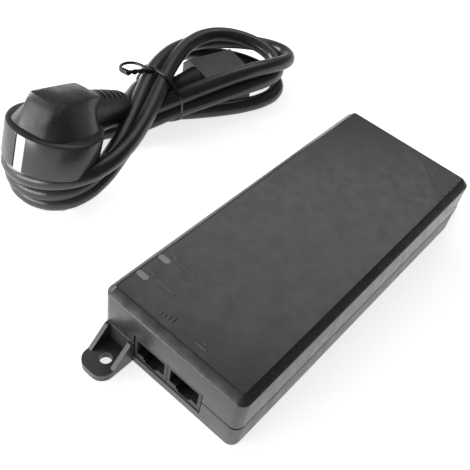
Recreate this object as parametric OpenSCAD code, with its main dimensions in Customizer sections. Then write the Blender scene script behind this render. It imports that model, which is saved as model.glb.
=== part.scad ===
// Mains-powered network power injector with two network jacks, a mains inlet,
// two screw-down ears and a coiled mains lead lying beside it. Millimetres, +Z up.
// The origin is under the middle of the case, on the surface that it stands on.

/* [Case] */
// Width of the case
case_w = 58; // [56:0.5:62]
// Length of the case without its ears
case_l = 140; // [138:0.5:150]
// Height of the case
case_h = 27; // [26.6:0.1:30]
// Height of the joint between base and cover
parting_z = 11; // [10.6:0.1:11.6]
// Radius of the upright corners
corner_r = 3.4; // [3.2:0.1:4.5]
// Width and height of the sloping edge round the top
top_chamfer = 2.6; // [1.5:0.1:3]
// Thickness of the side walls
wall = 2.2; // [2:0.1:2.4]
// Thickness of the roof
roof_t = 2.4; // [1.8:0.1:2.6]
// Thickness of the floor
floor_t = 1.6; // [1.4:0.1:1.7]

/* [Ears] */
// How far an ear reaches out from the end wall
ear_reach = 13.5; // [12:0.1:15]
// Width of an ear
ear_w = 12.2; // [11.6:0.1:12.4]
// Distance of an ear's middle from the case's centre line
ear_x = 20.9; // [20.8:0.1:21.2]
// Thickness of an ear
ear_t = 3; // [2.4:0.1:3.4]
// Distance of the screw hole from the case's centre line
ear_hole_x = 20.2; // [19.8:0.1:21]
// Distance of the screw hole from the end wall
ear_hole_out = 6.6; // [6:0.1:7]
// Diameter of the screw hole
ear_hole_d = 4.3; // [3.5:0.1:4.5]

/* [Jacks] */
// Distance between the middles of the two jacks
jack_pitch = 14.4; // [14.3:0.1:14.6]
// Width of a jack's opening
jack_open_w = 11.8; // [11.7:0.1:12]
// Height of a jack's opening above the latch channel
jack_open_h = 6.5; // [6.4:0.1:6.7]

/* [Mains inlet] */
// Distance of the inlet from the case's centre line, towards -X
inlet_offset = 4; // [3:0.1:4.5]
// Height of the inlet's middle
inlet_z = 13.4; // [13.3:0.1:13.6]

/* [Mains lead] */
// Diameter of the lead
cord_d = 6.8; // [6.2:0.1:7.4]
// Diameter of the plug's round flange
plug_d = 35.5; // [35:0.5:36]
// Length of the plug's pins
pin_len = 19; // [18.5:0.1:19.5]
// Distance of the tied bundle from the case's centre line
tie_x = 100.5; // [99:0.5:105]

/* [Hidden] */
$fn = 64;
half_w = case_w / 2;
half_l = case_l / 2;
wall_top = case_h - top_chamfer;
flat_half_w = half_w - top_chamfer;
flat_half_l = half_l - top_chamfer;
inner_w = case_w - 2 * wall;
inner_l = case_l - 2 * wall;
inner_r = corner_r - wall;
roof_z = case_h - roof_t;

// Joint between the base and the cover
tongue_t = 1;
tongue_h = 1.2;
fit_gap = 0.1;
groove_h = 0.5;
groove_d = 0.4;

// Circuit board and what holds it
board_z = 2.5;
board_t = 1.6;
board_top = board_z + board_t;
board_w = 52;
board_l = 133;
post_x = 22.5;
post_y = 64;
post_r = 3.2;
screw_r = 1.25;
screw_len = 13;
head_r = 2.4;
head_h = 1.5;
seat_z = 1.7;
label_w = 36;
label_l = 46;
label_y = -8;
label_z = 0.1;
label_t = 0.15;

// Jacks
jack_w = 14.2;
jack_h = 11.2;
jack_d = 18;
jack_front = half_l - 0.3;
jack_open_z = 6.9;
jack_open_d = 14;
latch_w = 6.2;
latch_z = 5;
contact_pitch = 1.02;
window_half = 14.75;
window_top = board_top + jack_h + 0.15;

// Indicator windows in the roof
led_x = -23.7;
led_y = [-48.6, -58.3];
led_w = 4.8;
led_l = 2.2;
pipe_gap = 0.05;

// Inlet
inlet_w = 27;
inlet_h = 19.8;
inlet_d = 20;
inlet_flange_w = 30;
inlet_flange_h = 18;
inlet_flange_t = 2;
inlet_hole_d = 16;
inlet_pin_x = 7;

// Marks raised on the roof
mark_h = 0.25;
mark_w = 0.5;
stripe_w = 1.2;
stripe_gap = 3.7;
stripe_count = 5;
stripe_inset = 4;

// The lead lies tied in a figure of eight beside the case
tie_y = 26.5;
tie_z = 12.75;
bundle_r = 11;
tie_wire_r = 0.8;
hank_h = 3 * cord_d;
lobe_r = 22.5;
lobe_hole_r = 12.5;
right_lobe = [-93, 72.5];
left_lobe = [-95, -36.5];
plug_at = [-91.8, -39.5, 18.8];
plug_lean = -16;
plug_turn = 8;
earth_slot_h = 14;
plug_flange_h = 14.5;
plug_pin_r = 2.4;
plug_pin_x = 9.5;
relief_from = [0, 13, 13];
relief_to = [0, 39, 9.5];
relief_r = [8.8, 5];
connector_at = [-102.5, 32.5, 8.2];
connector_turn = -15;
connector_w = 24;
connector_h = 16;
connector_l = 23;
connector_slope = 4;
connector_relief = 17;
connector_slots = [[-7, -2], [7, -2], [0, 2]];

// ---- shared shapes ----

// A block with rounded upright corners, standing on z = 0
module rounded_block(w, l, h, r) {
  translate([-w / 2, r - l / 2, 0]) cube([w, l - 2 * r, h]);
  translate([r - w / 2, -l / 2, 0]) cube([w - 2 * r, l, h]);
  for (x = [-1, 1], y = [-1, 1])
    translate([x * (w / 2 - r), y * (l / 2 - r), 0]) cylinder(h = h, r = r);
}

// The same block whose upper edge slopes inwards all round
module topped_block(w, l, h, r, slope) {
  side = [[w / 2, 0], [w / 2, h - slope], [w / 2 - slope, h]];
  end = [[l / 2, 0], [l / 2, h - slope], [l / 2 - slope, h]];
  translate([0, l / 2 - r, 0]) rotate([90, 0, 0]) linear_extrude(l - 2 * r)
    polygon(concat(side, [for (i = [2, 1, 0]) [-side[i][0], side[i][1]]]));
  translate([r - w / 2, 0, 0]) rotate([90, 0, 90]) linear_extrude(w - 2 * r)
    polygon(concat(end, [for (i = [2, 1, 0]) [-end[i][0], end[i][1]]]));
  for (x = [-1, 1], y = [-1, 1])
    translate([x * (w / 2 - r), y * (l / 2 - r), 0])
      rotate([0, 0, (y > 0 ? (x > 0 ? 0 : 90) : (x < 0 ? 180 : 270))])
        rotate_extrude(angle = 90) polygon([[0, 0], [r, 0], [r, h - slope], [r - slope, h], [0, h]]);
}

// ---- case ----

module end_openings() {
  translate([-window_half, -half_l - 1, board_top - 0.15])
    cube([2 * window_half, wall + 2, window_top - board_top + 0.15]);
  translate([-inlet_offset - inlet_w / 2 - fit_gap, half_l - wall - 1, inlet_z - inlet_h / 2 - fit_gap])
    cube([inlet_w + 2 * fit_gap, wall + 2, inlet_h + 2 * fit_gap]);
}

// One ear reaching out along -Y from the front wall
module ear() {
  x0 = -ear_x - ear_w / 2;
  round_r = 4.6;
  rib_t = 1.6;
  rib_h = 10.4;
  rib_out = 7.2;
  difference() {
    union() {
      translate([x0, -half_l - ear_reach + round_r, 0]) cube([ear_w, ear_reach - round_r + 1, ear_t]);
      translate([x0 + round_r, -half_l - ear_reach, 0]) cube([ear_w - 2 * round_r, round_r + 1, ear_t]);
      for (x = [x0 + round_r, x0 + ear_w - round_r])
        translate([x, -half_l - ear_reach + round_r, 0]) cylinder(h = ear_t, r = round_r);
      for (x = [x0, x0 + ear_w - rib_t])
        translate([x, -half_l + 1, 0]) rotate([90, 0, 90]) linear_extrude(rib_t)
          polygon([[0, 1], [0, rib_h], [-1, rib_h], [-1 - rib_out, ear_t], [-1 - rib_out, 1]]);
    }
    translate([-ear_hole_x, -half_l - ear_hole_out, -1]) cylinder(h = ear_t + 2, d = ear_hole_d);
  }
}

module base() {
  color("#37383c") difference() {
    union() {
      difference() {
        union() {
          rounded_block(case_w, case_l, parting_z - groove_h, corner_r);
          rounded_block(case_w - 2 * groove_d, case_l - 2 * groove_d, parting_z, corner_r - groove_d);
          rounded_block(inner_w + 2 * tongue_t, inner_l + 2 * tongue_t, parting_z + tongue_h,
                        inner_r + tongue_t);
        }
        translate([0, 0, floor_t]) rounded_block(inner_w, inner_l, case_h, inner_r);
        end_openings();
      }
      for (turn = [0, 180]) rotate([0, 0, turn]) ear();
      for (x = [-1, 1], y = [-1, 1])
        translate([x * post_x, y * post_y, floor_t - 0.5]) cylinder(h = board_z - floor_t + 0.5, r = 4);
    }
    for (x = [-1, 1], y = [-1, 1]) translate([x * post_x, y * post_y, -1]) {
      cylinder(h = seat_z + 1, r = head_r + 0.2);
      cylinder(h = board_z + 2, r = screw_r + 0.2);
    }
    translate([-label_w / 2 - 0.3, label_y - 0.3, -1]) cube([label_w + 0.6, label_l + 0.6, 1 + label_z + label_t]);
  }
}

module cover() {
  color("#2f2f31") difference() {
    union() {
      difference() {
        translate([0, 0, parting_z]) topped_block(case_w, case_l, case_h - parting_z, corner_r, top_chamfer);
        translate([0, 0, parting_z - 1]) rounded_block(inner_w, inner_l, roof_z - parting_z + 1, inner_r);
        translate([0, 0, parting_z - 1])
          rounded_block(inner_w + 2 * tongue_t + 2 * fit_gap, inner_l + 2 * tongue_t + 2 * fit_gap,
                        1 + tongue_h + fit_gap, inner_r + tongue_t + fit_gap);
        end_openings();
      }
      for (x = [-1, 1], y = [-1, 1])
        translate([x * post_x, y * post_y, board_top]) cylinder(h = roof_z - board_top + 0.5, r = post_r);
    }
    for (x = [-1, 1], y = [-1, 1])
      translate([x * post_x, y * post_y, board_top - 1]) cylinder(h = screw_len, r = screw_r);
    for (y = led_y) translate([led_x, y, roof_z - 1]) led_slot(case_h - roof_z + 2, 0);
  }
  color("#2f2f31") roof_marks();
}

// Thin raised marks: two bars and arcs beside the windows, two jack signs and five slanting stripes
module roof_marks() {
  bar_x = led_x + 2.4;
  bar_l = 10;
  translate([0, 0, case_h]) {
    for (y = led_y) {
      translate([bar_x, y + 1.6, 0]) cube([bar_l, mark_w, mark_h]);
      translate([bar_x - 0.6, y + 1, 0]) rotate([0, 0, 20]) rotate_extrude(angle = 90)
        translate([1.6, 0]) square([mark_w, mark_h]);
    }
    for (i = [0 : 3]) translate([-10 + 1.5 * i, -half_l + 5.2, 0]) cube([0.8, 1 + 0.5 * i, mark_h]);
    translate([5.2, -half_l + 5.4, 0]) cube([4, mark_w, mark_h]);
    translate([6.2, -half_l + 6.7, 0]) cube([2, mark_w, mark_h]);
    for (i = [0 : stripe_count - 1]) {
      cut = 4.4 + stripe_gap * i;
      len = (flat_half_w - 0.4 - stripe_inset - cut) * sqrt(2);
      translate([cut + stripe_inset, half_l - stripe_inset, 0]) rotate([0, 0, -45])
        translate([0, -stripe_w / 2, 0]) cube([len, stripe_w, mark_h]);
    }
  }
}

// An upright pill shape, the outline of an indicator window
module led_slot(h, less) {
  w = led_w - 2 * less;
  l = led_l - 2 * less;
  translate([(l - w) / 2, -l / 2, 0]) cube([w - l, l, h]);
  for (x = [-1, 1]) translate([x * (w - l) / 2, 0, 0]) cylinder(h = h, d = l);
}

// Four pan-head screws, driven from below
module case_screws() {
  color("#8d9096") for (x = [-1, 1], y = [-1, 1])
    translate([x * post_x, y * post_y, seat_z - head_h]) difference() {
      union() {
        cylinder(h = head_h, r = head_r);
        cylinder(h = screw_len, r = screw_r);
      }
      for (turn = [0, 90]) rotate([0, 0, turn])
        translate([-1.4, -0.3, -1]) cube([2.8, 0.6, 1.9]);
    }
}

module rating_label() {
  color("#c9cac6") translate([-label_w / 2, label_y, label_z]) cube([label_w, label_l, label_t]);
}

// ---- circuit board ----

module insulation_sheet() {
  color("#e8e4d0") difference() {
    translate([-25, -66, floor_t]) cube([50, 114, 0.3]);
    for (x = [-1, 1], y = [-1, 1])
      translate([x * post_x, y * post_y, 0]) cylinder(h = 5, r = 4.6);
  }
}

module circuit_board() {
  color("#2f6b3a") difference() {
    translate([0, board_l / 2 - 67.3, board_z]) rounded_block(board_w, board_l, board_t, 2.5);
    translate([-inlet_offset - inlet_w / 2 - 0.5, 49, board_z - 1]) cube([inlet_w + 1, 20, board_t + 2]);
    for (x = [-1, 1], y = [-1, 1])
      translate([x * post_x, y * post_y, board_z - 1]) cylinder(h = board_t + 2, r = screw_r + 0.2);
  }
}

// ---- network jacks ----

module jack_housing() {
  difference() {
    translate([-jack_w / 2, -jack_front, board_top]) cube([jack_w, jack_d, jack_h]);
    translate([-jack_open_w / 2, -jack_front - 1, jack_open_z]) cube([jack_open_w, jack_open_d + 1, jack_open_h]);
    translate([-latch_w / 2, -jack_front - 1, latch_z + 0.9]) cube([latch_w, jack_open_d - 1, 2]);
    translate([-latch_w / 2 + 0.9, -jack_front - 1, latch_z]) cube([latch_w - 1.8, jack_open_d - 3, 2]);
    for (i = [-3.5 : 3.5]) translate([i * contact_pitch - 0.25, -jack_front + 5, jack_open_z + jack_open_h - 0.2])
      cube([0.5, 9, 0.9]);
  }
}

// Eight spring wires that slant down into the opening
module jack_contacts() {
  for (i = [-3.5 : 3.5]) translate([i * contact_pitch, -jack_front, jack_open_z + jack_open_h + 0.4]) {
    translate([-0.18, 5.2, -0.18]) cube([0.36, 8.6, 0.36]);
    translate([-0.18, 5.2, -0.18]) rotate([-18, 0, 0]) cube([0.36, 7, 0.36]);
  }
}

module data_jack() { color("#26262a") translate([-jack_pitch / 2, 0, 0]) jack_housing(); }
module power_jack() { color("#26262a") translate([jack_pitch / 2, 0, 0]) jack_housing(); }
module data_jack_contacts() { color("#c9a24a") translate([-jack_pitch / 2, 0, 0]) jack_contacts(); }
module power_jack_contacts() { color("#c9a24a") translate([jack_pitch / 2, 0, 0]) jack_contacts(); }

// ---- indicators ----

module light_pipe(y) {
  color("#8a8d92") translate([led_x, y, 0]) {
    translate([0, 0, 6]) led_slot(case_h - 6 + 0.15, pipe_gap);
  }
}

module power_light_pipe() { light_pipe(led_y[0]); }
module link_light_pipe() { light_pipe(led_y[1]); }

module indicator_leds() {
  color("#e8e4d0") for (y = led_y) translate([led_x - 1.5, y - 0.8, board_top]) cube([3, 1.6, 0.9]);
}

// ---- mains inlet ----

module inlet_housing() {
  color("#232326") translate([-inlet_offset, half_l, inlet_z]) difference() {
    union() {
      translate([-inlet_w / 2, -inlet_d, -inlet_h / 2]) cube([inlet_w, inlet_d, inlet_h]);
      translate([-inlet_flange_w / 2, -wall - fit_gap - inlet_flange_t, -inlet_flange_h / 2])
        cube([inlet_flange_w, inlet_flange_t, inlet_flange_h]);
    }
    translate([0, 1, 0]) rotate([90, 0, 0]) linear_extrude(inlet_hole_d + 1)
      polygon([[-12.3, -8.2], [12.3, -8.2], [12.3, 3.8], [7.9, 8.2], [-7.9, 8.2], [-12.3, 3.8]]);
    for (pin = [[-inlet_pin_x, -2], [inlet_pin_x, -2], [0, 2]])
      translate([pin[0] - 1, -inlet_d - 1, pin[1] - 2]) cube([2, 8, 4]);
  }
}

module inlet_pins() {
  color("#b9bcc2") translate([-inlet_offset, half_l, inlet_z])
    for (pin = [[-inlet_pin_x, -2], [inlet_pin_x, -2], [0, 2]])
      translate([pin[0] - 1, -inlet_d - 3, pin[1] - 2]) cube([2, inlet_d + 1, 4]);
}

// Three insulated wires from the inlet's tails down to the board
module inlet_wires() {
  bend = 3;
  wire_r = 1;
  color("#7a4a2a") for (pin = [[-inlet_pin_x, -2], [inlet_pin_x, -2], [0, 2]]) {
    drop = inlet_z + pin[1] - board_top - bend;
    translate([-inlet_offset + pin[0], half_l - inlet_d - 3, inlet_z + pin[1]])
      translate([0, 0, -bend]) rotate([90, 0, -90]) {
        rotate_extrude(angle = 90) translate([bend, 0]) circle(r = wire_r);
        translate([bend, 0, 0]) rotate([90, 0, 0]) cylinder(h = drop, r = wire_r);
      }
  }
}

// ---- mains side ----

module fuse() {
  color("#3a3a3a") translate([-21, 44, board_top]) cylinder(h = 8, r = 4.2);
}

module surge_disc() {
  color("#3567a8") translate([-9.5, 42.8, board_top + 6.5]) rotate([90, 0, 0]) {
    cylinder(h = 3.2, r = 5.5);
    for (x = [-2.5, 2.5]) translate([x, -6.5, 1.6]) rotate([-90, 0, 0]) cylinder(h = 3, r = 0.35);
  }
}

module x_capacitor() {
  color("#d8b43c") translate([-25, 6.6, board_top]) cube([8, 18, 14.5]);
}

module emi_choke_core() {
  color("#3d4a42") translate([-12.5, 32.5, board_top + 1.2]) rotate_extrude()
    translate([3.4, 0]) square([3, 6]);
}

module emi_choke_winding() {
  color("#b8652c") translate([-12.5, 32.5, board_top + 1.2])
    for (turn = [-65, 115]) rotate([0, 0, turn]) rotate_extrude(angle = 130) difference() {
      translate([2.4, -1]) square([5, 8]);
      translate([3.4, 0]) square([3, 6]);
    }
}

module bridge_rectifier() {
  color("#232323") translate([14, 42, board_top + 3]) cube([11, 4, 11]);
  color("#b9bcc2") for (i = [0 : 3]) translate([15.6 + 2.6 * i - 0.4, 43.6, board_top]) cube([0.8, 0.8, 3]);
}

module bulk_capacitor() {
  color("#27364f") translate([4.5, 8.5, board_top + 9]) rotate([-90, 0, 0]) {
    cylinder(h = 31, r = 8.8);
  }
}

module primary_heatsink() {
  color("#a9adb3") {
    translate([20.6, 8, board_top]) cube([1.6, 28, 17]);
    translate([22.2, 8, board_top + 15.4]) cube([3.4, 28, 1.6]);
  }
}

module primary_switch() {
  color("#232323") translate([16.2, 14, board_top + 2]) cube([4.4, 10, 15]);
}

module y_capacitor() {
  color("#2f6fb0") translate([20, 4.5, board_top + 5]) rotate([90, 0, 0]) cylinder(h = 3.6, r = 4);
}

module optocoupler() {
  color("#e9e9e9") translate([16.5, -9, board_top]) cube([6.5, 4.6, 3.6]);
}

// ---- transformer ----

trafo_at = [-8, -4, 4.1];

module transformer_core() {
  color("#2c2c30") translate(trafo_at) difference() {
    translate([-14, -5, 1]) cube([28, 10, 19]);
    for (x = [-1, 1]) translate([x * 7.5 - 3, -6, 5]) cube([6, 12, 11]);
  }
}

module transformer_winding() {
  color("#d9c04a") translate(trafo_at) difference() {
    translate([-10.3, -10, 5.2]) cube([20.6, 20, 10.6]);
    translate([-4.6, -5.1, 4]) cube([9.2, 10.2, 14]);
    for (x = [-1, 1]) translate([x * 16.6 - 6, -5.1, 4]) cube([12, 10.2, 14]);
  }
  color("#232326") translate(trafo_at)
    for (y = [-9, 7.4]) translate([-10.3, y, 0]) cube([20.6, 1.6, 5.2]);
}

// ---- output side ----

module output_heatsink() {
  color("#a9adb3") translate([7, -22, board_top]) cube([18, 1.6, 17]);
}

module output_rectifier() {
  color("#232323") translate([11, -26.4, board_top + 2]) cube([10, 4.4, 15]);
}

module output_capacitors() {
  color("#27364f") for (x = [-20, -8.5]) translate([x, -25, board_top]) cylinder(h = 17, r = 5.2);
}

module output_choke() {
  color("#b8652c") translate([16.5, -36.5, board_top]) rotate_extrude()
    translate([3, 0]) square([5, 8]);
}

module data_transformer() {
  color("#232326") translate([-14, -46, board_top]) cube([22, 10, 6]);
}

module power_controller() {
  color("#1d1d1f") translate([-22, -38, board_top]) cube([6, 6, 1.2]);
}

// ---- mains lead ----

module at_plug() {
  translate(plug_at) rotate([plug_lean, 0, plug_turn]) children();
}

// The flange and the wedge-shaped grip above it, grown by a clearance
module plug_form(more) {
  cylinder(h = plug_flange_h + more, r = plug_d / 2 + more);
  hull() {
    translate([0, 0, plug_flange_h - 1]) cylinder(h = 1, r = plug_d / 2 - 1.5 + more, $fn = 32);
    translate([-6.3, -10, 24.6]) cube([12.6, 6, 2]);
    translate([-6.3, 10, 22.6]) cube([12.6, 6, 2]);
  }
}

module plug_body() {
  color("#2a2b2e") at_plug() difference() {
    plug_form(0);
    for (y = [-1, 1]) translate([-2.2, y > 0 ? plug_d / 2 - 2 : -plug_d / 2 - 1, -1])
      cube([4.4, 3, earth_slot_h + 1]);
    along_relief() translate([0, 0, -0.05]) cylinder(h = 60, r1 = relief_r[0] + 0.1, r2 = relief_r[1] + 0.1);
  }
}

module plug_pins() {
  color("#c8cace") at_plug() for (x = [-1, 1]) translate([x * plug_pin_x, 0, -pin_len]) {
    translate([0, 0, 1.5]) cylinder(h = pin_len - 1.5, r = plug_pin_r);
    cylinder(h = 1.5, r1 = 1.4, r2 = plug_pin_r);
  }
}

module plug_earth_clips() {
  color("#c8cace") at_plug() for (y = [-1, 1])
    translate([-1.9, y > 0 ? plug_d / 2 - 2 : -plug_d / 2 + 0.4, 0]) cube([3.8, 1.6, earth_slot_h - 0.1]);
}

// Puts +Z along the plug's cord outlet
module along_relief() {
  step = relief_to - relief_from;
  translate(relief_from) rotate([-acos(step[2] / norm(step)), 0, 0]) children();
}

module plug_relief_form() {
  along_relief() cylinder(h = norm(relief_to - relief_from), r1 = relief_r[0], r2 = relief_r[1]);
}

module plug_strain_relief() {
  color("#242528") at_plug() difference() {
    plug_relief_form();
    along_relief() for (i = [0 : 4]) translate([-10, -13, 9 + 4.6 * i]) cube([20, 7 + 0.3 * i, 1.6]);
    translate([-2.4, plug_d / 2 - 2.4, -1]) cube([4.8, 5, earth_slot_h + 1.2]);
  }
}

module lobe(far, near, r_far, r_near) {
  hull() {
    translate(far) circle(r = r_far, $fn = 32);
    translate(near) circle(r = r_near, $fn = 32);
  }
}

// The outer shape of the three turns, with room for the plug and the connector
module lead_hank() {
  color("#222326") difference() {
    union() {
      for (side = [1, -1]) linear_extrude(hank_h) difference() {
        lobe(side > 0 ? right_lobe : left_lobe, [-tie_x, tie_y + side * 12], lobe_r, bundle_r);
        lobe(side > 0 ? right_lobe : left_lobe, [-tie_x + 3 * side, tie_y + side * 28], lobe_hole_r, 5);
        translate([-200, tie_y - side * 50 - 50 + side * 3]) square([200, 100]);
      }
      translate([-tie_x, tie_y - 14, tie_z]) rotate([-90, 0, 0]) cylinder(h = 28, r = bundle_r);
    }
    at_plug() plug_form(0.4);
    at_plug() plug_relief_form();
    connector_relief_form();
    at_plug() translate([-14, -6, -30]) cube([28, 12, 32]);
    at_connector() translate([-connector_w / 2 - 0.4, connector_relief - 0.4, -20])
      cube([connector_w + 0.8, connector_l + 0.8, 20.4 + connector_h / 2]);
  }
}

// Wire wrapped once round the bundle
module twist_tie() {
  color("#15151a") {
    translate([-tie_x, tie_y, tie_z]) rotate([90, 0, 0]) rotate_extrude()
      translate([bundle_r + tie_wire_r + 0.05, 0]) circle(r = tie_wire_r);
  }
}

module at_connector() {
  translate(connector_at) rotate([0, 0, connector_turn]) children();
}

module connector_relief_form() {
  at_connector() rotate([-90, 0, 0]) cylinder(h = connector_relief, r1 = cord_d / 2 + 1.2, r2 = 8);
}

module connector_strain_relief() {
  color("#242528") connector_relief_form();
}

module connector_body() {
  side = [connector_w / 2, connector_h / 2];
  half = [[side[0], -side[1]], [side[0], side[1] - connector_slope], [side[0] - connector_slope, side[1]]];
  color("#2a2b2e") at_connector() difference() {
    translate([0, connector_relief + connector_l, 0]) rotate([90, 0, 0]) linear_extrude(connector_l)
      polygon(concat(half, [for (i = [2, 1, 0]) [-half[i][0], half[i][1]]]));
    for (slot = connector_slots)
      translate([slot[0] - 1.3, connector_relief + connector_l - 17, slot[1] - 2.3]) cube([2.6, 18, 4.6]);
  }
}

module connector_contacts() {
  color("#c9a24a") at_connector() for (slot = connector_slots)
    translate([slot[0] - 1.2, connector_relief + connector_l - 16.8, slot[1] - 2.2]) cube([2.4, 3, 4.4]);
}

base();
cover();
case_screws();
rating_label();
insulation_sheet();
circuit_board();
data_jack();
power_jack();
data_jack_contacts();
power_jack_contacts();
power_light_pipe();
link_light_pipe();
indicator_leds();
inlet_housing();
inlet_pins();
inlet_wires();
fuse();
surge_disc();
x_capacitor();
emi_choke_core();
emi_choke_winding();
bridge_rectifier();
bulk_capacitor();
primary_switch();
primary_heatsink();
y_capacitor();
optocoupler();
transformer_core();
transformer_winding();
output_rectifier();
output_heatsink();
output_capacitors();
output_choke();
data_transformer();
power_controller();
plug_body();
plug_pins();
plug_earth_clips();
plug_strain_relief();
lead_hank();
twist_tie();
connector_strain_relief();
connector_body();
connector_contacts();
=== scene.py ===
"""Looks of the network power injector and its tied mains lead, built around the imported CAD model.

Sizes are in millimetres in the CAD frame and are turned into metres where a mesh is made.
"""
import math

import bmesh
import bpy
from mathutils import Matrix, Vector


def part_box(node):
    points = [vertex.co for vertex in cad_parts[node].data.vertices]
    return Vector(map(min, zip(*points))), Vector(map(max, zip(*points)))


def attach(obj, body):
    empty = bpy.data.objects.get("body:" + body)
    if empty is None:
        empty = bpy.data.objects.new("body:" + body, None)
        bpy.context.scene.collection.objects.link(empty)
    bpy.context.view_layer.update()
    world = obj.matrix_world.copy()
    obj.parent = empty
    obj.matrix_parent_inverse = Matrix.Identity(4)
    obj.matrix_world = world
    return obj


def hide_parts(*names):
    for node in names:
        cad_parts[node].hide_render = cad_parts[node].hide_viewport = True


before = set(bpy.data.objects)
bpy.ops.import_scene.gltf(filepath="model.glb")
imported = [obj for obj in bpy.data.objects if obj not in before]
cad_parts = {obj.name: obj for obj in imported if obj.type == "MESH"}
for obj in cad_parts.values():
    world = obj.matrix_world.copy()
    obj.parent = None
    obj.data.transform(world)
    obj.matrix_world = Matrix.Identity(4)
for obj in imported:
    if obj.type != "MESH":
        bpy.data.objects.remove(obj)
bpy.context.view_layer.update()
MM = 0.001

# ---- driving sizes, in mm ----

CASE_LOW, CASE_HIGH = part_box("cover")
HALF_W = CASE_HIGH.x / MM
HALF_L = CASE_HIGH.y / MM
CASE_H = 27.0
PARTING_Z = 11.0
CORNER_R = 3.4
# How far the sloping upper edge is set in, and where it starts
SLOPE = 2.6
SLOPE_Z = 24.4
WALL = 2.2
# Inner faces of the roof and the floor
ROOF_Z = 24.6
FLOOR_Z = 1.6
CORD_R = 3.4
TIE = Vector((-100.5, 26.5, 12.75))
# Middle of the plug's face, its lean about X and its turn about Z
PLUG_AT = Vector((-91.8, -39.5, 18.8))
PLUG_LEAN = math.radians(-16)
PLUG_TURN = math.radians(8)
# Radius and height of the plug's round flange, and half the width of its slots
PLUG_R = 17.75
PLUG_RIM = 14.5
SLOT_HALF_W = 2.2
TIE_R = 0.65
# Half width of the jack window, and the heights of its lower and upper edge
JACK_WINDOW = 14.75
JACK_WINDOW_Z = (3.95, 15.45)
# The inlet's hole in the rear wall
INLET_X = (-17.6, 9.6)
INLET_Z = (3.4, 23.4)
# Middles of the two indicator windows, and their size
LED_X = -23.7
LED_Y = (-48.6, -58.3)
LED_W = 4.8
LED_D = 2.2
# Height of the raised marks over the roof
MARK_H = 0.25
# The ears: sides of the front one, reach from the wall, thickness, and its screw hole
EAR_X = (-27.0, -14.8)
EAR_REACH = 13.5
EAR_THICK = 3.0
EAR_CORNER_R = 4.6
EAR_HOLE_X = -20.2
EAR_HOLE_REACH = 6.6
EAR_HOLE_R = 2.15
RIB_W = 1.6
RIB_H = 10.4
RIB_REACH = 8.2
# Distance of the case screws from the middle
SCREW_X = 22.5
SCREW_Y = 64.0
CONNECTOR_AT = Vector((-102.5, 32.5, 8.2))
CONNECTOR_TURN = math.radians(-15)
CONNECTOR_RELIEF = 17.0
# The plug's neck, in the plug's own frame
RELIEF_FROM = Vector((0, 13, 14))
RELIEF_TO = Vector((0, 39, 12))
PLUG_FRAME = (Matrix.Translation(PLUG_AT) @ Matrix.Rotation(PLUG_TURN, 4, "Z")
              @ Matrix.Rotation(PLUG_LEAN, 4, "X"))
CONNECTOR_FRAME = Matrix.Translation(CONNECTOR_AT) @ Matrix.Rotation(CONNECTOR_TURN, 4, "Z")


# ---- camera ----

def place_camera():
    """A camera over the jack end, turned a little about its own axis."""
    turn, rise, roll = (math.radians(a) for a in (31.902, 47.261, 12.141))
    back = Vector((math.sin(turn) * math.cos(rise), -math.cos(turn) * math.cos(rise), math.sin(rise)))
    level = Vector((math.cos(turn), math.sin(turn), 0))
    upward = back.cross(level)
    right = math.cos(roll) * level + math.sin(roll) * upward
    up = math.cos(roll) * upward - math.sin(roll) * level
    data = bpy.data.cameras.new("camera")
    data.lens = 53.28
    data.sensor_width = 36
    data.clip_start = 0.01
    camera = bpy.data.objects.new("camera", data)
    place = Vector((69.37, -159.16, 200.16)) * MM
    axes = Matrix((right, up, back)).transposed().to_4x4()
    camera.matrix_world = Matrix.Translation(place) @ axes
    bpy.context.scene.collection.objects.link(camera)
    bpy.context.scene.camera = camera


place_camera()


# ---- materials ----

def rgb(level, tint=(1, 1, 1)):
    """A colour of that linear brightness and tint."""
    return tuple(level * t for t in tint) + (1.0,)


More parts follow.
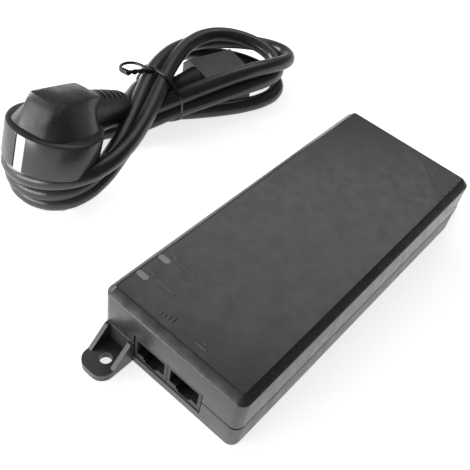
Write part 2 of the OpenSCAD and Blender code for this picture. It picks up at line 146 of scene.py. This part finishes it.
def material(name, colour, rough, grain=0.0, grain_size=0.4, mottle=0.08, mottle_size=12.0,
             metallic=0.0, coat=0.0, rough_spread=0.06, sheen=0.0):
    """A solid material: mottled colour, uneven roughness and a fine moulded grain.
    grain is the grain's height in mm, and the sizes are those of one fleck, in mm."""
    mat = bpy.data.materials.new(name)
    mat.use_nodes = True
    nodes, links = mat.node_tree.nodes, mat.node_tree.links
    shader = nodes["Principled BSDF"]
    shader.inputs["Metallic"].default_value = metallic
    shader.inputs["Coat Weight"].default_value = coat
    shader.inputs["Coat Roughness"].default_value = 0.12
    shader.inputs["Sheen Weight"].default_value = sheen
    place = nodes.new("ShaderNodeTexCoord")

    def noise(size, detail):
        node = nodes.new("ShaderNodeTexNoise")
        node.inputs["Scale"].default_value = 1 / (size * MM)
        node.inputs["Detail"].default_value = detail
        links.new(place.outputs["Object"], node.inputs["Vector"])
        return node.outputs["Fac"]

    ramp = nodes.new("ShaderNodeValToRGB")
    ramp.color_ramp.elements[0].position = 0.3
    ramp.color_ramp.elements[1].position = 0.7
    ramp.color_ramp.elements[0].color = tuple(c * (1 - mottle) for c in colour[:3]) + (1,)
    ramp.color_ramp.elements[1].color = tuple(c * (1 + mottle) for c in colour[:3]) + (1,)
    links.new(noise(mottle_size, 3), ramp.inputs["Fac"])
    links.new(ramp.outputs["Color"], shader.inputs["Base Color"])
    spread = nodes.new("ShaderNodeMapRange")
    spread.inputs["From Min"].default_value = 0.3
    spread.inputs["From Max"].default_value = 0.7
    spread.inputs["To Min"].default_value = max(0.02, rough - rough_spread)
    spread.inputs["To Max"].default_value = min(1.0, rough + rough_spread)
    links.new(noise(mottle_size * 0.35, 4), spread.inputs["Value"])
    links.new(spread.outputs["Result"], shader.inputs["Roughness"])
    if grain:
        bump = nodes.new("ShaderNodeBump")
        bump.inputs["Strength"].default_value = 1.0
        bump.inputs["Distance"].default_value = grain * MM
        links.new(noise(grain_size, 2), bump.inputs["Height"])
        links.new(bump.outputs["Normal"], shader.inputs["Normal"])
    return mat


COVER = material("cover_satin", rgb(0.024), 0.27, grain=0.012, grain_size=0.35, mottle=0.05)
BASE = material("base_satin", rgb(0.034, (1, 0.99, 1.1)), 0.36, grain=0.012, grain_size=0.35, mottle=0.06)
CORD_SKIN = material("cord_skin", rgb(0.022, (1, 1, 1.03)), 0.33, grain=0.03, grain_size=1.6,
                     mottle=0.15, mottle_size=6, sheen=0.05)
PLUG_SKIN = material("plug_skin", rgb(0.034, (1, 1, 1.04)), 0.3, grain=0.015, grain_size=0.6, mottle=0.12)
RELIEF_SKIN = material("relief_skin", rgb(0.022, (1, 1, 1.03)), 0.45, grain=0.02, grain_size=0.7,
                       mottle=0.12)
MARK = material("roof_mark", rgb(0.05, (1, 1, 1.02)), 0.32, grain=0.008, grain_size=0.3, mottle=0.05)
STRIPE = material("roof_stripe", rgb(0.036, (1, 1, 1.08)), 0.36, grain=0.008, grain_size=0.3, mottle=0.05)
PIPE = material("light_pipe", rgb(0.16, (1, 1, 1.02)), 0.3, grain=0.01, grain_size=0.5, mottle=0.1,
                mottle_size=1.5, coat=0.4)
TIE_SKIN = material("tie_wire", rgb(0.01), 0.22, grain=0.01, grain_size=0.8, mottle=0.15, mottle_size=2,
                    coat=0.4)


# ---- mesh helpers ----

def as_object(name, form, skin, body, replaces=()):
    """Turns a form in mm into a piece in metres that rides on a body."""
    bmesh.ops.recalc_face_normals(form, faces=form.faces)
    mesh = bpy.data.meshes.new(name)
    form.to_mesh(mesh)
    form.free()
    mesh.transform(Matrix.Scale(MM, 4))
    mesh.shade_smooth()
    mesh.set_sharp_from_angle(angle=math.radians(35))
    mesh.materials.append(skin)
    piece = bpy.data.objects.new(name, mesh)
    bpy.context.scene.collection.objects.link(piece)
    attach(piece, body)
    if replaces:
        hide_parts(*replaces)
    return piece


def loft(rings, bm=None):
    """A closed skin through rings of the same number of points, capped at both ends."""
    bm = bm or bmesh.new()
    rows = [[bm.verts.new(p) for p in ring] for ring in rings]
    count = len(rows[0])
    for low, high in zip(rows, rows[1:]):
        for i in range(count):
            j = (i + 1) % count
            bm.faces.new((low[i], low[j], high[j], high[i]))
    bm.faces.new(list(reversed(rows[0])))
    bm.faces.new(rows[-1])
    return bm


def rounded_ring(half_w, half_l, r, z, steps=8):
    """Points round a rectangle with round corners, at height z."""
    points = []
    for quarter, (sx, sy) in enumerate([(1, 1), (-1, 1), (-1, -1), (1, -1)]):
        for i in range(steps + 1):
            a = math.pi / 2 * (quarter + i / steps)
            points.append((sx * (half_w - r) + r * math.cos(a), sy * (half_l - r) + r * math.sin(a), z))
    return points


def fillet(corner, before, after, r, steps=4):
    """Points of an arc that rounds a corner of an outline in the plane."""
    corner, before, after = Vector(corner), Vector(before), Vector(after)
    to_before = (before - corner).normalized()
    to_after = (after - corner).normalized()
    half = to_before.angle(to_after) / 2
    cut = r / math.tan(half)
    centre = corner + (to_before + to_after).normalized() * (r / math.sin(half))
    start = corner + to_before * cut - centre
    end = corner + to_after * cut - centre
    turn = start.angle(end)
    points = []
    for i in range(steps + 1):
        f = i / steps
        p = (math.sin((1 - f) * turn) * start + math.sin(f * turn) * end) / math.sin(turn)
        points.append(centre + p)
    return points


def block(low, high):
    """A box between two corners."""
    bm = bmesh.new()
    made = bmesh.ops.create_cube(bm, size=1)["verts"]
    size = Vector(high) - Vector(low)
    middle = (Vector(high) + Vector(low)) / 2
    for v in made:
        v.co = Vector((v.co.x * size.x, v.co.y * size.y, v.co.z * size.z)) + middle
    return bm


def circle_ring(r, z, count=96):
    """Points round a circle at height z."""
    return [(r * math.cos(2 * math.pi * i / count), r * math.sin(2 * math.pi * i / count), z)
            for i in range(count)]


def prism(outline, z_low, z_high):
    """An upright prism over an outline of (x, y) points."""
    return loft([[(x, y, z) for x, y in outline] for z in (z_low, z_high)])


def disc(x, y, r, z_low, z_high, count=40):
    """An upright cylinder."""
    return prism([(x + r * math.cos(2 * math.pi * i / count), y + r * math.sin(2 * math.pi * i / count))
                  for i in range(count)], z_low, z_high)


def soften(bm, width, segments=2, angle=30):
    """Bevels every edge sharper than the angle."""
    sharp = [e for e in bm.edges if len(e.link_faces) == 2 and e.calc_face_angle(0) > math.radians(angle)]
    bmesh.ops.bevel(bm, geom=sharp, offset=width, segments=segments, profile=0.7, affect="EDGES",
                    clamp_overlap=True)
    return bm


def combine(piece, forms, operation):
    """Joins closed meshes to a piece, or subtracts them, and applies the result."""
    for form in forms:
        mesh = bpy.data.meshes.new("form")
        bmesh.ops.recalc_face_normals(form, faces=form.faces)
        form.to_mesh(mesh)
        form.free()
        mesh.transform(Matrix.Scale(MM, 4))
        tool = bpy.data.objects.new("form", mesh)
        bpy.context.scene.collection.objects.link(tool)
        modifier = piece.modifiers.new("combine", "BOOLEAN")
        modifier.operation = operation
        modifier.solver = "EXACT"
        modifier.object = tool
        bpy.context.view_layer.update()
        graph = bpy.context.evaluated_depsgraph_get()
        result = bpy.data.meshes.new_from_object(piece.evaluated_get(graph))
        piece.modifiers.clear()
        old, piece.data = piece.data, result
        bpy.data.meshes.remove(old)
        bpy.data.objects.remove(tool)
        bpy.data.meshes.remove(mesh)
    while len(piece.data.materials) > 1:
        piece.data.materials.pop()
    piece.data.shade_smooth()
    piece.data.set_sharp_from_angle(angle=math.radians(30))


def join_to(piece, forms):
    combine(piece, forms, "UNION")


def cut_away(piece, forms):
    combine(piece, forms, "DIFFERENCE")


def turned(bm, angle):
    """A copy of a mesh turned about Z."""
    copy = bm.copy()
    bmesh.ops.rotate(copy, verts=copy.verts, cent=(0, 0, 0), matrix=Matrix.Rotation(angle, 3, "Z"))
    return copy


def metres(matrix):
    """The same placing for a mesh that is already in metres."""
    scaled = matrix.copy()
    scaled.translation = matrix.translation * MM
    return scaled


# ---- mains cord: three turns tied in a figure of eight ----

# Each turn: reach along Y, half width of its back and front runs, lean of its tips towards +X, and
# the heights of its back and front runs. Each pair is (right lobe, left lobe).
TURNS = [
    {"reach": (62.5, 76), "back": (20, 17.5), "front": (20, 20.5), "lean": (10.8, 4.5),
     "back_z": (3.4, 3.4), "front_z": (3.4, 11.5)},
    {"reach": (69, 77.5), "back": (17.5, 17), "front": (16, 23), "lean": (12.8, 5.5),
     "back_z": (10.2, 9.8), "front_z": (17, 20.5)},
    {"reach": (63.5, 76), "back": (18, 15), "front": (17.5, 20.5), "lean": (9.8, 5.5),
     "back_z": (17, 3.4), "front_z": (10.2, 4.8)},
]
# Where the runs pass through the tie: distance from its middle along X, height, and rise along +Y
OVER = [(-8, 12.8, 0), (-5.2, 19, 0), (1.9, 18.9, 0), (-1.2, 9.4, -0.25)]
UNDER = [(4.4, 3.4, 0), (8.8, 13.8, 0.3), (9.2, 7.4, 0.3)]
STEPS = 32
# The free stretch between the plug's strain relief and the tie
FROM_PLUG = [(-99.9, 6.5, 17.2), (-103, 13, 15.2), (-106.4, 19.8, 13.8)]


def turn_point(index, t):
    """A point of one turn of the figure of eight, t going from 0 to 2 pi."""
    turn = TURNS[index]
    s, c = math.sin(t), math.cos(t)
    side = 0 if s >= 0 else 1
    share = 0.5 - 0.5 * c if side == 0 else 0.5 + 0.5 * c
    share = share * share * (3 - 2 * share)
    width = turn["back"][side] * (1 - share) + turn["front"][side] * share
    height = turn["back_z"][side] * (1 - share) + turn["front_z"][side] * share
    if c > 0:
        across, tie_z, rise = OVER[index if s >= 0 else index + 1]
    else:
        across, tie_z, rise = UNDER[index]
    near = abs(c) ** 4
    along = turn["reach"][side] * s
    x = TIE.x - width * math.sin(2 * t) + turn["lean"][side] * s * s + across * near
    z = height * (1 - near) + (tie_z + rise * along) * near
    return Vector((x, TIE.y + along, max(CORD_R, z)))


def cord_route():
    """The cord's middle line from the plug's neck to the connector."""
    route = [PLUG_FRAME @ (RELIEF_TO + Vector((0, back, 0))) for back in (-3, 0)]
    route += [Vector(p) for p in FROM_PLUG]
    for index in range(len(TURNS)):
        route += [turn_point(index, 2 * math.pi * i / STEPS) for i in range(STEPS)]
    across, tie_z, _ = OVER[-1]
    route.append(Vector((TIE.x + across, TIE.y, tie_z)))
    route += [CONNECTOR_FRAME @ Vector((0, y, 0)) for y in (0.5, 6)]
    return route


def build_cord():
    """The cord as one round curve."""
    route = cord_route()
    curve = bpy.data.curves.new("mains_cord", "CURVE")
    curve.dimensions = "3D"
    spline = curve.splines.new("BEZIER")
    spline.bezier_points.add(len(route) - 1)
    for knot, place in zip(spline.bezier_points, route):
        knot.co = place * MM
        knot.handle_left_type = knot.handle_right_type = "AUTO"
    spline.resolution_u = 5
    curve.bevel_depth = CORD_R * MM
    curve.bevel_resolution = 6
    curve.use_fill_caps = True
    curve.materials.append(CORD_SKIN)
    cord = bpy.data.objects.new("mains_cord", curve)
    bpy.context.scene.collection.objects.link(cord)
    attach(cord, "power_lead")
    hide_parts("lead_hank")
    return cord


cord = build_cord()


# ---- case ----

def case_ring(inset, z):
    """The case's outline, set in by that much."""
    return rounded_ring(HALF_W - inset, HALF_L - inset, max(CORNER_R - inset, 0.5), z)


def end_windows():
    """Cutters for the jack window at the front and the inlet's hole at the rear."""
    jacks = block((-JACK_WINDOW, -HALF_L - 3, JACK_WINDOW_Z[0]),
                  (JACK_WINDOW, -HALF_L + WALL + 1, JACK_WINDOW_Z[1]))
    inlet = block((INLET_X[0], HALF_L - WALL - 1, INLET_Z[0]), (INLET_X[1], HALF_L + 3, INLET_Z[1]))
    return [jacks, inlet]


def pill(centre, width, depth, z_low, z_high):
    """An upright block with half-round ends along X."""
    r = depth / 2
    outline = []
    for side in (1, -1):
        for i in range(13):
            a = math.pi * (i / 12 - 0.5)
            outline.append((centre[0] + side * (width / 2 - r + r * math.cos(a)),
                            centre[1] + side * r * math.sin(a)))
    return prism(outline, z_low, z_high)


def build_cover():
    """The upper half of the case: a shell with a sloping upper edge and four openings."""
    edge_low = fillet((0, SLOPE_Z), (0, 20), (SLOPE, CASE_H), 0.55)
    edge_high = fillet((SLOPE, CASE_H), (0, SLOPE_Z), (10, CASE_H), 0.9)
    rings = [case_ring(WALL, ROOF_Z), case_ring(WALL, PARTING_Z), case_ring(0.25, PARTING_Z)]
    rings += [case_ring(0, PARTING_Z + 0.25), case_ring(0, 17)]
    rings += [case_ring(p[0], p[1]) for p in edge_low + edge_high]
    cover = as_object("cover_shell", loft(rings), COVER, "injector",
                      replaces=["cover"])
    lights = [pill((LED_X, y), LED_W, LED_D, ROOF_Z - 1, CASE_H + 1) for y in LED_Y]
    cut_away(cover, end_windows() + lights)
    return cover


def bar(x, y, length, width, turn=0.0, bm=None):
    """A raised bar on the roof with softened upper edges, starting at (x, y)."""
    turn = math.radians(turn)
    along = Vector((math.cos(turn), math.sin(turn)))
    across = Vector((-along.y, along.x))
    rings = []
    for inset, z in ((0, CASE_H - 0.1), (0, CASE_H + 0.14), (0.1, CASE_H + MARK_H)):
        corners = [(inset, -width / 2 + inset), (length - inset, -width / 2 + inset),
                   (length - inset, width / 2 - inset), (inset, width / 2 - inset)]
        rings.append([(x + along.x * u + across.x * v, y + along.y * u + across.y * v, z)
                      for u, v in corners])
    return loft(rings, bm)


def arc(x, y, r, width, start, sweep, bm, steps=12):
    """A raised arc on the roof."""
    rings = []
    for inset, z in ((0, CASE_H - 0.1), (0, CASE_H + 0.14), (0.08, CASE_H + MARK_H)):
        outline = []
        for radius, order in ((r - width / 2 + inset, range(steps + 1)),
                              (r + width / 2 - inset, range(steps, -1, -1))):
            for i in order:
                a = math.radians(start + sweep * i / steps)
                outline.append((x + radius * math.cos(a), y + radius * math.sin(a), z))
        rings.append(outline)
    return loft(rings, bm)


def build_marks():
    """The raised bars and arcs beside the indicators and above the jacks, and the stripes."""
    marks = bmesh.new()
    for y in LED_Y:
        bar(LED_X + 2.4, y + 1.85, 10, 0.5, 0, marks)
        arc(LED_X + 1.8, y + 1, 1.85, 0.5, 20, 110, marks)
    for i in range(4):
        bar(-9.6 + 1.5 * i, -HALF_L + 5.2, 1 + 0.5 * i, 0.7, 90, marks)
    bar(5.2, -HALF_L + 5.6, 4, 0.5, 0, marks)
    bar(6.2, -HALF_L + 6.95, 2, 0.5, 0, marks)
    as_object("roof_marks", marks, MARK, "injector")
    stripes = bmesh.new()
    for i in range(5):
        start = 4.4 + 3.7 * i
        bar(start + 4, HALF_L - 4, (HALF_W - SLOPE - 4.4 - start) * math.sqrt(2), 1.2, -45, stripes)
    as_object("roof_stripes", stripes, STRIPE, "injector")


def ear_form():
    """The ear in front: a plate with round outer corners, a screw hole and two ribs."""
    x_low, x_high = EAR_X
    out = HALF_L + EAR_REACH
    r = EAR_CORNER_R
    outline = [(x_low, -HALF_L + 1)]
    for cx, start in ((x_low + r, 180), (x_high - r, 270)):
        for i in range(11):
            a = math.radians(start + 9 * i)
            outline.append((cx + r * math.cos(a), -out + r + r * math.sin(a)))
    outline.append((x_high, -HALF_L + 1))
    plate = soften(prism(outline, 0, EAR_THICK), 0.45)
    ribs = []
    for x in (x_low, x_high - RIB_W):
        profile = [(-HALF_L + 1, 1), (-HALF_L + 1, RIB_H), (-HALF_L - 1, RIB_H),
                   (-HALF_L - RIB_REACH, EAR_THICK), (-HALF_L - RIB_REACH, 1)]
        rib = loft([[(side, y, z) for y, z in profile] for side in (x, x + RIB_W)])
        ribs.append(soften(rib, 0.2))
    return plate, ribs


def build_base():
    """The lower half of the case with both ears, its screw posts and the label's recess."""
    rings = []
    for i in range(5):
        a = math.pi / 2 * i / 4
        rings.append(case_ring(0.7 * (1 - math.sin(a)), 0.7 * (1 - math.cos(a))))
    parting = [(0, -0.65), (0.15, -0.5), (0.4, -0.5), (0.4, 0), (1.2, 0), (1.2, 1.2), (WALL, 1.2)]
    rings += [case_ring(inset, PARTING_Z + rise) for inset, rise in parting]
    rings.append(case_ring(WALL, FLOOR_Z))
    base = as_object("base_shell", loft(rings), BASE, "injector", replaces=["base"])
    posts = [(x, y) for x in (-SCREW_X, SCREW_X) for y in (-SCREW_Y, SCREW_Y)]
    plate, ribs = ear_form()
    joined = []
    for angle in (0, math.pi):
        joined += [turned(form, angle) for form in [plate] + ribs]
    for form in [plate] + ribs:
        form.free()
    join_to(base, joined + [disc(x, y, 4, 1.1, 2.5) for x, y in posts])
    cutters = end_windows()
    for x, y in posts:
        cutters += [disc(x, y, 2.6, -1, 1.7), disc(x, y, 1.45, 1, 4)]
    for side in (1, -1):
        cutters.append(disc(EAR_HOLE_X * side, (-HALF_L - EAR_HOLE_REACH) * side, EAR_HOLE_R, -1, 5))
    cutters.append(block((-18.3, -8.3, -1), (18.3, 38.3, 0.25)))
    cut_away(base, cutters)


# ---- plug ----

def ray_box(angle, half_x, low_y, high_y):
    """Distance from the middle to a rectangle's edge in that direction."""
    c, s = math.cos(angle), math.sin(angle)
    reach = [half_x / abs(c)] if abs(c) > 1e-6 else []
    if abs(s) > 1e-6:
        reach.append((high_y if s > 0 else -low_y) / abs(s))
    return min(reach)


def grip_ring(share, count=96, shrink=1.0):
    """A section of the plug's grip: a round-cornered square at 0, the narrow flat top at 1."""
    points = []
    for i in range(count):
        a = 2 * math.pi * i / count
        low = 1 / (ray_box(a, 13.6, -15.2, 15.6) ** -8 + 16.4 ** -8) ** 0.125
        high = 1 / (ray_box(a, 6.3, -13, 13) ** -14 + 14.2 ** -14) ** (1 / 14)
        x = (low * (1 - share) + high * share * shrink) * math.cos(a)
        y = (low * (1 - share) + high * share * shrink) * math.sin(a) + 3 * share
        top = 26.6 - (y + 10) * 2 / 26
        points.append((x, y, (PLUG_RIM - 0.2) * (1 - share) + top * share))
    return points


def build_plug():
    """The plug: a round flange with rounded edges and two slots, and the grip above it."""
    flange = [(-2.55, 0), (-0.85, 0.05), (-0.25, 0.3), (0, 0.9), (0, PLUG_RIM - 1.2),
              (-0.2, PLUG_RIM - 0.5), (-0.75, PLUG_RIM - 0.1), (-1.05, PLUG_RIM)]
    rings = [circle_ring(PLUG_R + step, z) for step, z in flange]
    rings += [grip_ring(share) for share in (0.02, 0.25, 0.5, 0.75, 0.94)]
    rings += [grip_ring(0.985, shrink=0.985), grip_ring(1, shrink=0.93)]
    plug = as_object("plug_moulding", loft(rings), PLUG_SKIN, "power_lead",
                     replaces=["plug_body"])
    slots = [block((-SLOT_HALF_W, -PLUG_R - 1, -1), (SLOT_HALF_W, -PLUG_R + 2, 14)),
             block((-SLOT_HALF_W, PLUG_R - 2, -1), (SLOT_HALF_W, PLUG_R + 1, 14))]
    cut_away(plug, slots)
    plug.data.transform(metres(PLUG_FRAME))


def along_line(start, end):
    """A frame at the start of a line whose Z runs along it, X level."""
    z = (end - start).normalized()
    x = Vector((1, 0, 0))
    y = z.cross(x).normalized()
    axes = Matrix((x, y, z)).transposed().to_4x4()
    return Matrix.Translation(start) @ axes


def build_relief():
    """The plug's ribbed neck."""
    length = (RELIEF_TO - RELIEF_FROM).length
    rings = []
    for share, r in ((0, 9.6), (0.3, 9.0), (0.6, 8.0), (0.9, 6.6), (0.97, 6.0), (1.0, 4.6)):
        rings.append([(0.86 * x if share < 0.5 else (0.86 + 0.28 * (share - 0.5)) * x, y, z)
                      for x, y, z in circle_ring(r, length * share, 48)])
    relief = as_object("plug_neck", loft(rings), RELIEF_SKIN, "power_lead",
                       replaces=["plug_strain_relief"])
    grooves = []
    for i in range(5):
        z = 7.5 + 3.6 * i
        for side in (1, -1):
            near = 7.5 - 0.5 * i
            low, high = sorted((side * near, side * (near + 6)))
            grooves.append(soften(block((-12, low, z), (12, high, z + 1.5)), 0.25))
    cut_away(relief, grooves)
    relief.data.transform(metres(PLUG_FRAME @ along_line(RELIEF_FROM, RELIEF_TO)))


# ---- connector ----

def build_connector():
    """The appliance connector, with a slot for each of its three pins, and its neck."""
    half_w = 12.0
    half_h = 8.0
    slope = 4.0
    length = 23.0
    far = CONNECTOR_RELIEF + length
    outline = [(-half_w, -half_h), (half_w, -half_h), (half_w, half_h - slope), (half_w - slope, half_h),
               (slope - half_w, half_h), (-half_w, half_h - slope)]
    rings = [[(x, CONNECTOR_RELIEF + y, z) for x, z in outline] for y in (0, length)]
    body = as_object("connector_moulding", soften(loft(rings), 0.8, segments=3), PLUG_SKIN, "power_lead",
                     replaces=["connector_body"])
    slots = [block((x - 1.3, far - 17, z - 2.3), (x + 1.3, far + 1, z + 2.3))
             for x, z in ((-7, -2), (7, -2), (0, 2))]
    cut_away(body, slots)
    body.data.transform(metres(CONNECTOR_FRAME))
    rings = []
    for share, r in ((0, 4.0), (0.04, 4.6), (0.5, 6.0), (1.0, 7.9)):
        rings.append([(x, share * CONNECTOR_RELIEF, y) for x, y, _ in circle_ring(r, 0, 48)])
    relief = as_object("connector_neck", loft(rings), RELIEF_SKIN, "power_lead",
                       replaces=["connector_strain_relief"])
    relief.data.transform(metres(CONNECTOR_FRAME))


# ---- twist tie ----

def tie_outline(count=48):
    """The line of the tie round the seven strands, as offsets (v, height) at the tie."""
    strands = [(v, z) for v, z, _ in OVER + UNDER]
    reach = CORD_R + TIE_R
    points = []
    for i in range(count):
        a = 2 * math.pi * i / count
        toward = Vector((math.cos(a), math.sin(a)))
        far = max(strands, key=lambda p: toward.dot(Vector(p)))
        points.append(Vector(far) + toward * reach)
    return points


def add_spline(curve, points, closed=False):
    """Adds a smooth line through the points to a curve."""
    spline = curve.splines.new("BEZIER")
    spline.bezier_points.add(len(points) - 1)
    for knot, place in zip(spline.bezier_points, points):
        knot.co = Vector(place) * MM
        knot.handle_left_type = knot.handle_right_type = "AUTO"
    spline.use_cyclic_u = closed
    spline.resolution_u = 4


def build_tie():
    """The wire twist tie: a ring round the strands, a twisted pair and the loop at its end."""
    curve = bpy.data.curves.new("wire_tie", "CURVE")
    curve.dimensions = "3D"
    curve.bevel_depth = TIE_R * MM
    curve.bevel_resolution = 4
    curve.use_fill_caps = True
    ring = [(TIE.x + p.x, TIE.y + 0.1 * p.x, max(TIE_R, p.y)) for p in tie_outline()]
    add_spline(curve, ring, closed=True)
    knot = Vector((TIE.x - 4, TIE.y - 2, 22.6))
    for phase in (0, math.pi):
        tail = [knot + Vector((0.6 * math.cos(phase), 1.6, -0.4))]
        for i in range(25):
            share = i / 24
            a = phase + 2 * math.pi * 3.5 * share
            centre = knot + Vector((-8 * share, -9.5 * min(1, share * 2), 0.6 * math.sin(math.pi * share)))
            tail.append(centre + Vector((0.3, 0.62 * math.cos(a), 0.62 * math.sin(a))))
        add_spline(curve, tail)
    end = knot + Vector((-8, -9.5, 0))
    steps = [(0, 0, 0), (-1.6, 1.6, 0.3), (-0.4, 5.2, 0.9), (4, 7.6, 1.3), (8.2, 8.6, 0.7)]
    loop = [end + Vector(step) for step in steps] + [knot + Vector((1.4, 1.2, -0.3))]
    add_spline(curve, loop)
    curve.materials.append(TIE_SKIN)
    tie = bpy.data.objects.new("wire_tie", curve)
    bpy.context.scene.collection.objects.link(tie)
    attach(tie, "power_lead")
    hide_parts("twist_tie")


# ---- finish of the CAD nodes ----

def finish_nodes():
    """Gives every CAD node that stays a material of its own kind."""
    black = material("dark_moulding", rgb(0.012), 0.5, grain=0.01, mottle=0.1)
    gold = material("contact_gold", (0.75, 0.5, 0.16, 1), 0.28, metallic=1, mottle=0.1, mottle_size=2)
    nickel = material("pin_nickel", (0.62, 0.62, 0.6, 1), 0.22, metallic=1, mottle=0.05, mottle_size=3,
                      grain=0.004, grain_size=0.3)
    steel = material("screw_steel", (0.42, 0.42, 0.44, 1), 0.32, metallic=1, mottle=0.12, mottle_size=1.5,
                     grain=0.004, grain_size=0.2)
    aluminium = material("heatsink_aluminium", (0.66, 0.67, 0.68, 1), 0.38, metallic=1, mottle=0.06,
                         grain=0.006, grain_size=0.3)
    ferrite = material("ferrite", rgb(0.035, (1, 0.97, 0.95)), 0.6, grain=0.03, grain_size=0.3, mottle=0.25,
                       mottle_size=1.5)
    copper = material("winding_copper", (0.62, 0.24, 0.09, 1), 0.3, metallic=0.9, mottle=0.15, mottle_size=1)
    package = material("package_black", rgb(0.016), 0.55, grain=0.01, mottle=0.1, mottle_size=2)
    ceramic = material("ceramic_coat", (0.03, 0.1, 0.36, 1), 0.35, mottle=0.08, coat=0.3)
    can = material("can_sleeve", (0.02, 0.028, 0.05, 1), 0.3, mottle=0.08, coat=0.3)
    finishes = {
        "case_screws": steel,
        "rating_label": material("label_film", (0.5, 0.51, 0.5, 1), 0.5, grain=0.004, mottle=0.03),
        "insulation_sheet": material("insulation_film", (0.6, 0.56, 0.42, 1), 0.35, mottle=0.06),
        "circuit_board": material("board_laminate", (0.02, 0.12, 0.045, 1), 0.35, grain=0.01,
                                  grain_size=0.8, mottle=0.15, mottle_size=4, coat=0.2),
        "data_jack": black, "power_jack": black,
        "data_jack_contacts": gold, "power_jack_contacts": gold,
        "power_light_pipe": PIPE, "link_light_pipe": PIPE,
        "indicator_leds": material("led_resin", (0.75, 0.72, 0.5, 1), 0.25, mottle=0.05, coat=0.3),
        "inlet_housing": black, "inlet_pins": nickel,
        "inlet_wires": material("wire_sleeve", (0.19, 0.075, 0.03, 1), 0.4, mottle=0.1, mottle_size=2),
        "fuse": package, "surge_disc": ceramic, "y_capacitor": ceramic,
        "x_capacitor": material("film_box", (0.55, 0.42, 0.08, 1), 0.45, mottle=0.06, grain=0.01),
        "emi_choke_core": ferrite, "emi_choke_winding": copper, "bridge_rectifier": package,
        "bulk_capacitor": can, "output_capacitors": can,
        "primary_switch": package, "primary_heatsink": aluminium,
        "optocoupler": material("opto_white", (0.7, 0.7, 0.66, 1), 0.5, mottle=0.05),
        "transformer_core": ferrite,
        "transformer_winding": material("winding_tape", (0.6, 0.48, 0.06, 1), 0.35, mottle=0.08, coat=0.2),
        "output_rectifier": package, "output_heatsink": aluminium, "output_choke": copper,
        "data_transformer": package, "power_controller": package,
        "plug_pins": nickel, "plug_earth_clips": nickel, "connector_contacts": gold,
    }
    for name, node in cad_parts.items():
        skin = finishes.get(name, BASE)
        if node.data.materials:
            node.data.materials[0] = skin
        else:
            node.data.materials.append(skin)


build_cover()
build_marks()
build_base()
build_plug()
build_relief()
build_connector()
build_tie()
finish_nodes()


# ---- stage and light ----

def build_stage():
    """A plain pale floor just under the object."""
    plane = bmesh.new()
    bmesh.ops.create_grid(plane, x_segments=1, y_segments=1, size=3)
    mesh = bpy.data.meshes.new("floor")
    plane.to_mesh(mesh)
    plane.free()
    floor = bpy.data.objects.new("floor", mesh)
    floor.location.z = -0.0002
    mat = bpy.data.materials.new("floor_white")
    mat.use_nodes = True
    nodes, links = mat.node_tree.nodes, mat.node_tree.links
    shader = nodes["Principled BSDF"]
    shader.inputs["Base Color"].default_value = (0.86, 0.86, 0.86, 1)
    shader.inputs["Roughness"].default_value = 0.9
    shader.inputs["Specular IOR Level"].default_value = 0.1
    shader.inputs["Emission Color"].default_value = (1, 1, 1, 1)
    shader.inputs["Emission Strength"].default_value = 0.75
    mesh.materials.append(mat)
    bpy.context.scene.collection.objects.link(floor)


def area_light(name, place, target, size, power):
    """A rectangular soft light that faces the target, in metres and watts."""
    data = bpy.data.lights.new(name, "AREA")
    data.shape = "RECTANGLE"
    data.size, data.size_y = size
    data.energy = power
    light = bpy.data.objects.new(name, data)
    light.location = place
    aim = Vector(target) - Vector(place)
    light.rotation_euler = aim.to_track_quat("-Z", "Y").to_euler()
    bpy.context.scene.collection.objects.link(light)


def build_light():
    """A dim even surround and three soft lights: low in front, left, and above the rear."""
    world = bpy.data.worlds.new("studio")
    world.use_nodes = True
    background = world.node_tree.nodes["Background"]
    background.inputs["Color"].default_value = (1, 1, 1, 1)
    background.inputs["Strength"].default_value = 0.13
    bpy.context.scene.world = world
    middle = (-0.03, 0, 0.01)
    area_light("front_box", (-0.42, -1.2, 0.20), middle, (1.2, 0.16), 16)
    area_light("left_box", (-1.15, -0.45, 0.55), middle, (0.5, 0.6), 15)
    area_light("top_soft", (-0.35, 0.75, 1.0), middle, (0.9, 0.7), 3.5)
    bpy.context.scene.view_settings.view_transform = "Standard"


build_stage()
build_light()
